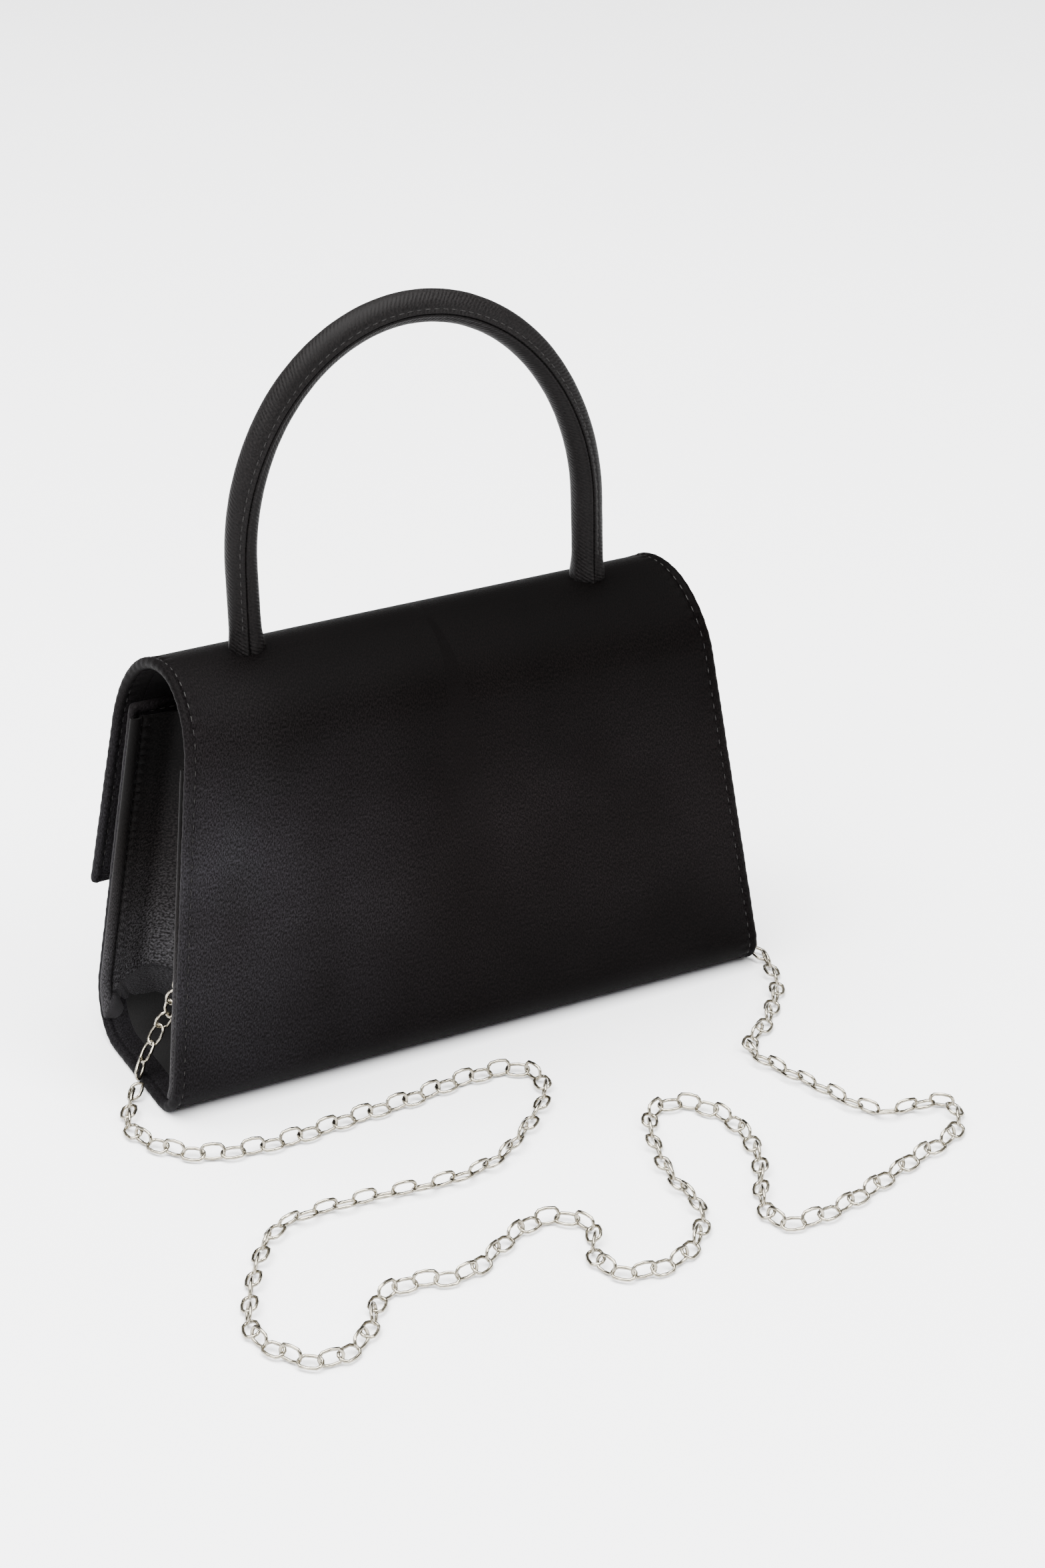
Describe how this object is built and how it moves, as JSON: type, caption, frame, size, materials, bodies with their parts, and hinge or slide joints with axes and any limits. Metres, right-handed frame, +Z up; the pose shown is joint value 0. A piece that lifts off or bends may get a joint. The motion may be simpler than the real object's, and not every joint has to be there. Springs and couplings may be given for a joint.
{
  "type": "evening bag",
  "caption": "Structured satin evening bag with a fold-over flap, recessed side gussets, an arched padded tube handle and a long cable-chain strap.",
  "frame": {"origin": "on the floor, in the middle of the bag's overall width and depth (strap left out)", "axes": "+Z up; -Y is the side that the flap closes over; the handle's arch spans X, and +X is the bag's left seen from the back"},
  "size_m": [0.2426, 0.2265, 0.2417],
  "materials": {
    "satin": "black duchess satin, soft sheen",
    "lining": "matt woven lining",
    "board": "pressed fibre board",
    "magnet_steel": "bare",
    "cord_core": "twisted cotton cord",
    "plated_steel": "satin plated",
    "nickel": "polished nickel",
    "chain_alloy": "bright nickel-coloured cable chain"
  },
  "bodies": {
    "bag_body": {"body_satin": "satin", "base_board": "board", "back_board": "board", "top_board": "board", "body_lining": "lining", "slip_pocket": "lining", "gusset_left": "satin", "gusset_right": "satin", "gusset_lining_left": "lining", "gusset_lining_right": "lining", "strap_tab_left": "satin", "strap_tab_right": "satin", "strap_ring_left": "nickel", "strap_ring_right": "nickel", "chain_strap": "chain_alloy"},
    "front_panel": {"front_satin": "satin", "front_board": "board", "front_lining": "lining", "front_magnet": "magnet_steel"},
    "flap": {"flap_satin": "satin", "flap_board": "board", "flap_lining": "satin", "flap_magnet": "magnet_steel"},
    "handle": {"handle_cover": "satin", "handle_core": "cord_core", "handle_anchor_left": "plated_steel", "handle_anchor_right": "plated_steel", "handle_rivet_left": "plated_steel", "handle_rivet_right": "plated_steel"}
  },
  "joints": [
    {"name": "flap_fold", "type": "hinge", "parent": "bag_body", "child": "flap", "pos_m": [0, -0.01499, 0.12954], "axis": [-1, 0, 0], "range_deg": [0, 140]},
    {"name": "front_spread", "type": "hinge", "parent": "bag_body", "child": "front_panel", "pos_m": [0, -0.02779, 0.02377], "axis": [1, 0, 0], "range_deg": [0, 2.5]},
    {"name": "handle_tilt", "type": "hinge", "parent": "bag_body", "child": "handle", "pos_m": [0, 0.009, 0.13705], "axis": [1, 0, 0], "range_deg": [-12, 12], "stiffness_Nm_per_rad": 0.15}
  ]
}
